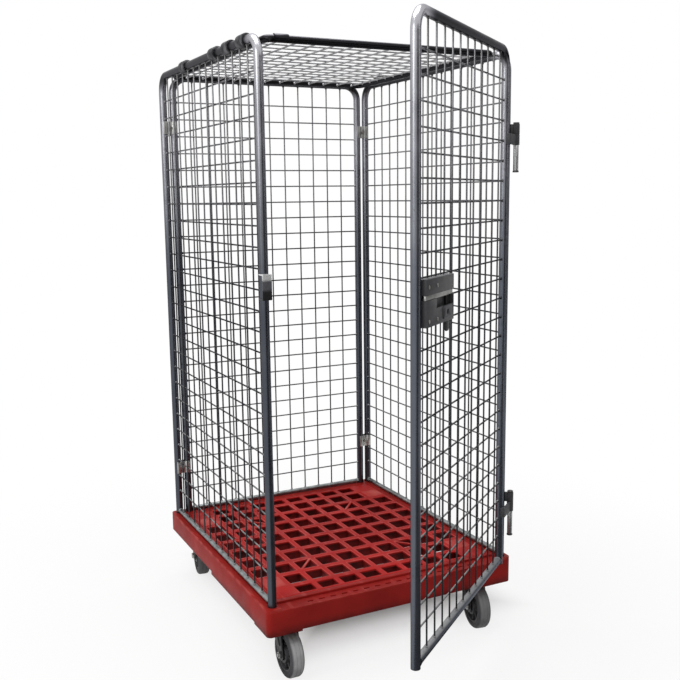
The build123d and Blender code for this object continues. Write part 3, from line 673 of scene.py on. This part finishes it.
def weld_bead():
    """Bead around a wire's end: it stands on the origin and runs up the wire along Z."""
    bpy.ops.object.select_all(action="DESELECT")
    bpy.ops.mesh.primitive_cone_add(vertices=8, radius1=BEAD_FOOT, radius2=BEAD_TOP, depth=BEAD_HEIGHT,
                                    location=(0, 0, BEAD_MIDDLE))
    bpy.ops.object.transform_apply(location=True, rotation=True, scale=True)
    bead = bpy.context.object
    bpy.ops.object.mode_set(mode="EDIT")
    pick(bead, lambda middle, normal: normal.z > 0.9)
    bpy.ops.mesh.inset(thickness=0.0005, depth=0.0004)
    bpy.ops.mesh.select_all(action="SELECT")
    bpy.ops.transform.vertex_random(offset=0.0004, uniform=0.0, normal=0.0, seed=4)
    bpy.ops.object.mode_set(mode="OBJECT")
    return bead


AIMS = {
    "+x": Matrix.Rotation(math.pi / 2, 4, "Y"), "-x": Matrix.Rotation(-math.pi / 2, 4, "Y"),
    "+y": Matrix.Rotation(-math.pi / 2, 4, "X"), "-y": Matrix.Rotation(math.pi / 2, 4, "X"),
    "+z": Matrix.Identity(4), "-z": Matrix.Rotation(math.pi, 4, "X"),
}


def wire_ends(place, half, columns, low, levels):
    """Beads of one panel, drawn in the XZ plane as it lies before it is put in its place."""
    spots = []
    for level in levels:
        spots.append(Matrix.Translation((-half, -WIRE_OFF, level)) @ AIMS["+x"])
        spots.append(Matrix.Translation((half, -WIRE_OFF, level)) @ AIMS["-x"])
    for number in range(columns):
        x = (number - (columns - 1) / 2) * MESH
        spots.append(Matrix.Translation((x, WIRE_OFF, low)) @ AIMS["+z"])
        spots.append(Matrix.Translation((x, WIRE_OFF, TOP_RAIL - TUBE_R)) @ AIMS["-z"])
    return [place @ spot for spot in spots]


def rail_ends(place, half, level, size):
    """Beads around the ends of a lower rail, as a wire's bead made larger."""
    larger = Matrix.Scale(size, 4)
    return [place @ Matrix.Translation((-half, 0, level)) @ AIMS["+x"] @ larger,
            place @ Matrix.Translation((half, 0, level)) @ AIMS["-x"] @ larger]


# In each, the fourth colour is painted shade towards the base and the fifth is painted shade on the top
# rails.
panel_zinc = galvanised("panel_zinc", (0.19, 0.19, 0.21, 1), (0.34, 0.34, 0.37, 1),
                        (0.050, 0.058, 0.074, 1), (0.045, 0.045, 0.048, 1), front_bend_highlight, 0.4)
wire_zinc = galvanised("wire_zinc", (0.17, 0.17, 0.175, 1), (0.32, 0.32, 0.33, 1),
                       (0.028, 0.029, 0.033, 1), (0.15, 0.15, 0.15, 1), no_highlight, 0.1)
plug_plastic = dark_plastic("plug_plastic", (0.025, 0.025, 0.027, 1), (0.040, 0.040, 0.043, 1))
wires_low, wires_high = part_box("left_wires_h")
ROWS = round((wires_high.z - wires_low.z) / MESH) + 1
LEVELS = [wires_low.z + WIRE_R + row * MESH for row in range(ROWS)]
PANELS = {
    "left": (Matrix.Translation((-POST_X, 0, 0)) @ Matrix.Rotation(math.pi / 2, 4, "Z"),
             POST_Y - TUBE_R, SIDE_COLUMNS),
    "right": (Matrix.Translation((POST_X, 0, 0)) @ Matrix.Rotation(-math.pi / 2, 4, "Z"),
              POST_Y - TUBE_R, SIDE_COLUMNS),
    "back": (Matrix.Translation((0, POST_Y, 0)), INNER_X - TUBE_R, END_COLUMNS),
}
for panel, (place, half, columns) in PANELS.items():
    dress([panel + "_frame"], panel_zinc)
    dress([panel + "_wires_h", panel + "_wires_v"], wire_zinc)
    spots = wire_ends(place, half, columns, SILL_Z + SILL_R, LEVELS)
    spots += rail_ends(place, half, SILL_Z, SILL_BEAD)
    finished(set_out(weld_bead(), spots), panel + "_welds", "cage", wire_zinc)
sill_zinc = plated("sill_zinc", (0.22, 0.235, 0.235, 1), (0.38, 0.40, 0.40, 1), 0.26)
dress(["panel_sills"], sill_zinc)
dress(["tube_plugs"], plug_plastic)


# Corner clips: pairs of zinc plated saddles, pressed to fit around the back panel's tube and the side
# panel's tube.  One bolt with a nut draws each pair together between the tubes.

CLIP_FLAT, CLIP_DIP, CLIP_T = 0.0073, 0.0075, 0.003
CLIP_STEPS = ((0.0023, 0.00185), (0.0030, 0.00132), (0.0029, 0.00038),
              (0.0029, -0.00038), (0.0021, -0.0008))
CLIP_HALF = 0.019
CLIP_BOLT = (0.009, 0.0035, 0.0056)
CLIP_NUT, CLIP_TIP = (0.009, 0.0045, 0.0056), 0.003
clips_low, clips_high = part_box("clip_plates")


def clip_saddle():
    """One saddle, lying with its back down on the tubes' axes and its bolt seat up."""
    bpy.ops.object.select_all(action="DESELECT")
    bpy.ops.mesh.primitive_plane_add(size=1, location=(0, 0, CLIP_DIP))
    saddle = bpy.context.object
    saddle.scale = (2 * CLIP_FLAT, 2 * CLIP_HALF, 1)
    bpy.ops.object.transform_apply(location=True, rotation=True, scale=True)
    for side in (-1, 1):
        bpy.ops.object.mode_set(mode="EDIT")
        bpy.ops.mesh.select_mode(type="EDGE")
        bpy.ops.mesh.select_all(action="DESELECT")
        bpy.ops.object.mode_set(mode="OBJECT")
        for edge in saddle.data.edges:
            ends = [saddle.data.vertices[v].co for v in edge.vertices]
            edge.select = all(side * end.x > CLIP_FLAT - 0.0001 for end in ends)
        bpy.ops.object.mode_set(mode="EDIT")
        for across, up in CLIP_STEPS:
            bpy.ops.mesh.extrude_region_move(TRANSFORM_OT_translate={"value": (side * across, 0, up)})
        bpy.ops.object.mode_set(mode="OBJECT")
    bpy.ops.object.mode_set(mode="EDIT")
    bpy.ops.mesh.select_all(action="SELECT")
    bpy.ops.mesh.normals_make_consistent(inside=False)
    pick(saddle, lambda middle, normal: normal.z < 0)
    bpy.ops.mesh.flip_normals()
    bpy.ops.object.mode_set(mode="OBJECT")
    wall = saddle.modifiers.new("wall", "SOLIDIFY")
    wall.thickness = CLIP_T
    wall.offset = 1.0
    bpy.ops.object.modifier_apply(modifier="wall")
    rounded(saddle, 0.0006)
    return saddle


clip_spots = [Matrix.Translation((side * (POST_X + INNER_X) / 2, POST_Y, level))
              for side in (-1, 1) for level in (clips_low.z + CLIP_HALF, clips_high.z - CLIP_HALF)]
stood_up = Matrix.Rotation(math.pi / 2, 4, "X")
inward = [spot @ stood_up for spot in clip_spots]
outward = [spot @ Matrix.Rotation(math.pi, 4, "Z") @ stood_up for spot in clip_spots]
saddles = set_out(clip_saddle(), inward + outward)
finished(saddles, "clip_saddles", "cage", bright_zinc, ["clip_plates"])
seat = Matrix.Translation((0, 0, CLIP_DIP + CLIP_T))
through = 2 * CLIP_DIP + 2 * CLIP_T
clip_bolts = set_out(hexagon_bolt(*CLIP_BOLT, shank=through), [spot @ seat for spot in inward])
finished(clip_bolts, "clip_bolt_heads", "cage", bolt_zinc, ["clip_bolts"])
clip_nuts = set_out(hexagon_bolt(*CLIP_NUT, tip=CLIP_TIP), [spot @ seat for spot in outward])
finished(clip_nuts, "clip_nuts_tips", "cage", bolt_zinc, ["clip_nuts"])


# Hinges: dark steel eyes welded to the right front upright.  A long plated pin hangs in each, with a
# sleeve around its lower end.

hinge_steel = coated_black("hinge_steel", (0.060, 0.060, 0.064, 1), 0.40)
softened("hinge_eyes_welded", "hinge_eyes", 0.0008, hinge_steel)
pin_zinc = plated("pin_zinc", (0.07, 0.07, 0.07, 1), (0.15, 0.15, 0.15, 1), 0.34)
# The fourth colour is painted shade towards the base and the fifth is painted shade on the top rails.
sleeve_zinc = galvanised("sleeve_zinc", (0.58, 0.58, 0.58, 1), (0.78, 0.78, 0.78, 1),
                         (0.45, 0.46, 0.46, 1), (0.20, 0.20, 0.20, 1), no_highlight, 0.4)
softened("hinge_pins_turned", "hinge_pins", 0.0010, pin_zinc)
softened("hinge_sleeves_cut", "hinge_sleeves", 0.0006, sleeve_zinc)


# Door: one bent steel tube with a bottom rail, meshed, welded and zinc plated like the panels.  Two dark
# steel straps welded to it turn on the hinge pins.

DOOR_RAIL_R, DOOR_RAIL_BEAD = 0.010, 2.9
# Distances from the hinge at which the door's painted highlight begins.
HIGHLIGHT_RADIUS_FROM, HIGHLIGHT_RADIUS_TO = 0.59, 0.65
hinge = joints["door_hinge"]
axis_at = Matrix.Translation(hinge["pos_m"])
swing = axis_at @ Matrix.Rotation(math.radians(-hinge["range_deg"][0]), 4, "Z") @ axis_at.inverted()
door_place = swing @ Matrix.Translation((0, -POST_Y, 0)) @ Matrix.Rotation(math.pi, 4, "Z")
door_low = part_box("door_wires_v")[0].z


def free_edge_highlight(place):
    """The end of the door away from its hinge, whose upper bends get a painted highlight."""
    across = place.axis("X") - hinge["pos_m"][0]
    along = place.axis("Y") - hinge["pos_m"][1]
    return (across * across + along * along).step(HIGHLIGHT_RADIUS_FROM ** 2, HIGHLIGHT_RADIUS_TO ** 2)


# The fourth colour is painted shade towards the base and the fifth is painted shade on the top rails.
door_zinc = galvanised("door_zinc", (0.21, 0.21, 0.23, 1), (0.37, 0.37, 0.40, 1),
                       (0.092, 0.104, 0.128, 1), (0.008, 0.008, 0.009, 1), free_edge_highlight, 0.4)
dress(["door_frame"], door_zinc)
dress(["door_wires_h", "door_wires_v"], wire_zinc)
door_spots = wire_ends(door_place, INNER_X - TUBE_R, END_COLUMNS, door_low, LEVELS)
door_spots += rail_ends(door_place, INNER_X - TUBE_R, door_low - DOOR_RAIL_R, DOOR_RAIL_BEAD)
finished(set_out(weld_bead(), door_spots), "door_welds", "door", wire_zinc)
softened("door_straps_welded", "door_straps", 0.0008, hinge_steel)


# Lock: a back plate and two folded covers of dark steel, held by domed rivets.  A plated bolt slides
# between the covers, pushed by a flat handle, and a hasp plate takes a padlock.

RIVET_R = 0.0035
DOME_R, DOME_FOOT = 0.0040, 0.0008
DOME_STEPS = ((0.0008, 0.0006), (0.0010, 0.0004), (0.0010, 0.0002))


def domed_rivet():
    """Rivet head that stands on the origin and rises along Z."""
    rivet = turned(DOME_R, DOME_FOOT, 20)
    alone(rivet)
    bpy.ops.object.mode_set(mode="EDIT")
    pick(rivet, lambda middle, normal: normal.z > 0.9)
    for inset, out in DOME_STEPS:
        bpy.ops.mesh.inset(thickness=inset, depth=out)
    bpy.ops.object.mode_set(mode="OBJECT")
    return rivet


lock_steel = coated_black("lock_steel", (0.056, 0.056, 0.061, 1), 0.42)
handle_steel = coated_black("handle_steel", (0.016, 0.016, 0.017, 1), 0.40)
for part in ("lock_plate", "lock_upper_cover", "lock_lower_cover"):
    softened(part + "_folded", part, 0.0007, lock_steel)
hasp_zinc = plated("hasp_zinc", (0.10, 0.10, 0.11, 1), (0.20, 0.20, 0.22, 1), 0.32)
softened("lock_hasp_pressed", "lock_hasp", 0.0006, hasp_zinc)
softened("lock_bolt_ground", "lock_bolt", 0.0008, bright_zinc)
softened("lock_handle_bar", "lock_handle", 0.0008, handle_steel)
shut = swing.inverted()
shut_rivets = [shut @ vertex.co for vertex in nodes["lock_rivets"].data.vertices]
rivet_seat = max(point.y for point in shut_rivets)
rivet_x = [min(point.x for point in shut_rivets) + RIVET_R, max(point.x for point in shut_rivets) - RIVET_R]
rivet_z = [min(point.z for point in shut_rivets) + RIVET_R, max(point.z for point in shut_rivets) - RIVET_R]
rivet_spots = [swing @ Matrix.Translation((x, rivet_seat, z)) @ AIMS["-y"]
               for x in rivet_x for z in rivet_z]
lock_rivets = set_out(domed_rivet(), rivet_spots)
finished(lock_rivets, "lock_rivets_domed", "door", bolt_zinc, ["lock_rivets"])


# Keeper: a bracket bent from dark steel strip and welded to the left front upright.  The lock's bolt enters
# it.  Its coating is painted with a highlight at the top and shade at the bottom.

keeper_low, keeper_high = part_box("keeper")


def lit_and_shaded_coat(name, low, high):
    """Dark coating painted with light and shade: black as painted shade at the bottom, grey from half way
    up and a bright painted highlight near the top.
    """
    finish, shader, place = new_finish(name, {"Specular IOR Level": 0.4})
    tall = high - low
    ragged = place.axis("Z") + (place.grain(120.0, 4.0) - 0.5) * 0.004
    # Painted shade at the bottom, growing lighter up the bracket to a painted highlight at the top.
    half_lit = ragged.step(low + tall * 0.30, low + tall * 0.45)
    painted_highlight = ragged.step(low + tall * 0.70, low + tall * 0.84)
    colour = half_lit.blend((0.012, 0.012, 0.013, 1), (0.085, 0.085, 0.095, 1))
    painted_highlight.blend(colour, (0.80, 0.80, 0.80, 1)).feed(shader, "Base Color")
    (painted_highlight * 0.6).feed(shader, "Metallic")
    (0.40 - painted_highlight * 0.12 + place.grain(60.0, 4.0) * 0.1).feed(shader, "Roughness")
    place.grain(520.0, 2.0).bump(0.0003, 0.3).feed(shader, "Normal")
    return finish


keeper_painted_light = lit_and_shaded_coat("keeper_painted_light", keeper_low.z, keeper_high.z)
softened("keeper_bent", "keeper", 0.0007, keeper_painted_light)


# Lid: a tube frame with welded mesh.  Straps hook it around the left top rail, and lugs carry it on the
# right one.

# The fourth colour is painted shade towards the base and the fifth is painted shade on the top rails.
lid_zinc = galvanised("lid_zinc", (0.17, 0.17, 0.19, 1), (0.30, 0.30, 0.33, 1),
                      (0.05, 0.05, 0.055, 1), (0.008, 0.008, 0.009, 1), no_highlight, 0.4)
dress(["lid_frame"], lid_zinc)
lid_wire_zinc = plated("lid_wire_zinc", (0.32, 0.32, 0.33, 1), (0.50, 0.50, 0.51, 1), 0.30)
dress(["lid_wires_x", "lid_wires_y"], lid_wire_zinc)
along_low, along_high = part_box("lid_wires_y")
across_low, across_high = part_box("lid_wires_x")
lid_spots = []
for number in range(round((along_high.x - along_low.x) / MESH) + 1):
    x = along_low.x + WIRE_R + number * MESH
    lid_spots.append(Matrix.Translation((x, along_low.y, TOP_RAIL - WIRE_OFF)) @ AIMS["+y"])
    lid_spots.append(Matrix.Translation((x, along_high.y, TOP_RAIL - WIRE_OFF)) @ AIMS["-y"])
for number in range(round((across_high.y - across_low.y) / MESH) + 1):
    y = across_low.y + WIRE_R + number * MESH
    lid_spots.append(Matrix.Translation((across_low.x, y, TOP_RAIL + WIRE_OFF)) @ AIMS["+x"])
    lid_spots.append(Matrix.Translation((across_high.x, y, TOP_RAIL + WIRE_OFF)) @ AIMS["-x"])
finished(set_out(weld_bead(), lid_spots), "lid_welds", "lid", lid_wire_zinc)
hook_zinc = plated("hook_zinc", (0.030, 0.030, 0.033, 1), (0.20, 0.20, 0.21, 1), 0.34)
softened("lid_hooks_bent", "lid_hooks", 0.0010, hook_zinc)
softened("lid_rests_welded", "lid_rests", 0.0007, lid_zinc)
softened("lid_saddle_bent", "lid_saddle", 0.0005, lid_zinc)


# Studio: a pale floor that runs out to white, with a painted shadow under the base, a soft lamp overhead, a
# softer one at the left and a white room.  Dark cards at the right, in front and low down only show as
# reflections, so that tubes look round.

FLOOR_HALF = 20.0
# The darker floor under the base is a painted shadow.
LEE = 0.11  # the darker floor under the base is drawn out by twice this to the right and the back
bpy.ops.object.select_all(action="DESELECT")
bpy.ops.mesh.primitive_plane_add(size=2 * FLOOR_HALF)
floor = bpy.context.object
floor.name = "floor"


def seen_rays(place):
    """1 for the rays that show the room: those of the camera, of mirrors and through glass."""
    path = place.tree.nodes.new("ShaderNodeLightPath")
    kinds = ("Is Camera Ray", "Is Glossy Ray", "Is Transmission Ray")
    camera_ray, glossy_ray, glass_ray = [Tone(place.tree, path.outputs[kind]) for kind in kinds]
    return (camera_ray + glossy_ray + glass_ray).least(1.0)


floor_paint, floor_shader, place = new_finish("floor_paint", {"Roughness": 0.9})
# Painted shadow: the floor's paint is darker under the base and its white glow fades out there, both drawn
# out towards the back right.
beyond = (abs(place.axis("X") - LEE) - base_high.x).most(abs(place.axis("Y") - LEE) - base_high.y) - LEE
shadow_paint = beyond.step(-0.30, -0.16).blend((0.35, 0.35, 0.35, 1), (0.86, 0.86, 0.86, 1))
shadow_paint.feed(floor_shader, "Base Color")
far = place.node("ShaderNodeVectorMath", {"operation": "LENGTH"}, {0: place}, "Value").step(0.7, 1.7)
share = seen_rays(place) * beyond.step(-0.30, -0.04) * (0.84 + far * 0.16)
glow = place.node("ShaderNodeEmission", {}, {"Color": (1, 1, 1, 1), "Strength": 1.0})
painted = Tone(place.tree, floor_shader.outputs[0])
seen = place.node("ShaderNodeMixShader", {}, {0: share, 1: painted, 2: glow})
seen.feed(place.tree.nodes["Material Output"], "Surface")
floor.data.materials.append(floor_paint)

world = bpy.data.worlds.new("studio")
bpy.context.scene.world = world
world.use_nodes = True
background = world.node_tree.nodes["Background"]
background.inputs["Color"].default_value = (1, 1, 1, 1)
sky = Tone(world.node_tree, background.outputs[0])
(0.42 + seen_rays(sky) * 0.58).feed(background, "Strength")


def facing(name, data, place, target):
    """Adds an object that looks from its place at a target."""
    holder = bpy.data.objects.new(name, data)
    bpy.context.scene.collection.objects.link(holder)
    holder.location = place
    holder.rotation_euler = (Vector(target) - Vector(place)).to_track_quat("-Z", "Y").to_euler()
    return holder


def softbox(name, place, target, size, power):
    """A square area lamp that looks at a target."""
    lamp = bpy.data.lights.new(name, "AREA")
    lamp.size = size
    lamp.energy = power
    facing(name, lamp, place, target)


softbox("overhead", (-0.5, 0.1, 4.2), (0.0, 0.0, 0.4), 3.0, 120.0)
softbox("left", (-3.9, -1.7, 2.4), (0.0, 0.0, 0.8), 2.2, 45.0)

card_paint, card_shader, place = new_finish("card_paint", {"Base Color": (0.06, 0.06, 0.064, 1)})
(0.8 + place.grain(8.0) * 0.1).feed(card_shader, "Roughness")


def dark_card(name, place, turns, size):
    """A card that shows only in reflections."""
    bpy.ops.object.select_all(action="DESELECT")
    bpy.ops.mesh.primitive_plane_add(size=1, location=place,
                                     rotation=[math.radians(turn) for turn in turns])
    card = bpy.context.object
    card.name = name
    card.scale = (size[0], size[1], 1.0)
    card.data.materials.append(card_paint)
    card.visible_camera = False
    card.visible_diffuse = False
    card.visible_shadow = False


dark_card("right_card", (3.2, -1.3, 1.2), (90, 0, 90), (2.4, 3.2))
dark_card("front_card", (1.2, -3.9, 1.2), (90, 0, 0), (4.0, 3.2))
dark_card("low_card", (0.12, -2.19, 0.002), (0, 0, -21.7), (2.2, 3.4))

EYE = (-1.1487, -2.3980, 1.2189)
YAW, PITCH, ROLL = math.radians(26.5), math.radians(8.91), math.radians(-0.73)
LENS = 48.33
ahead = Vector((math.sin(YAW) * math.cos(PITCH), math.cos(YAW) * math.cos(PITCH), -math.sin(PITCH)))
level = Vector((math.cos(YAW), -math.sin(YAW), 0.0))
upright = level.cross(ahead)
right = math.cos(ROLL) * level + math.sin(ROLL) * upright
up = math.cos(ROLL) * upright - math.sin(ROLL) * level
camera = bpy.data.objects.new("camera", bpy.data.cameras.new("camera"))
bpy.context.scene.collection.objects.link(camera)
camera.data.lens = LENS
camera.data.sensor_width = 36.0
camera.data.clip_end = 100.0
camera.matrix_world = Matrix.Translation(EYE) @ Matrix((right, up, -ahead)).transposed().to_4x4()
bpy.context.scene.camera = camera
bpy.context.scene.view_settings.view_transform = "Standard"
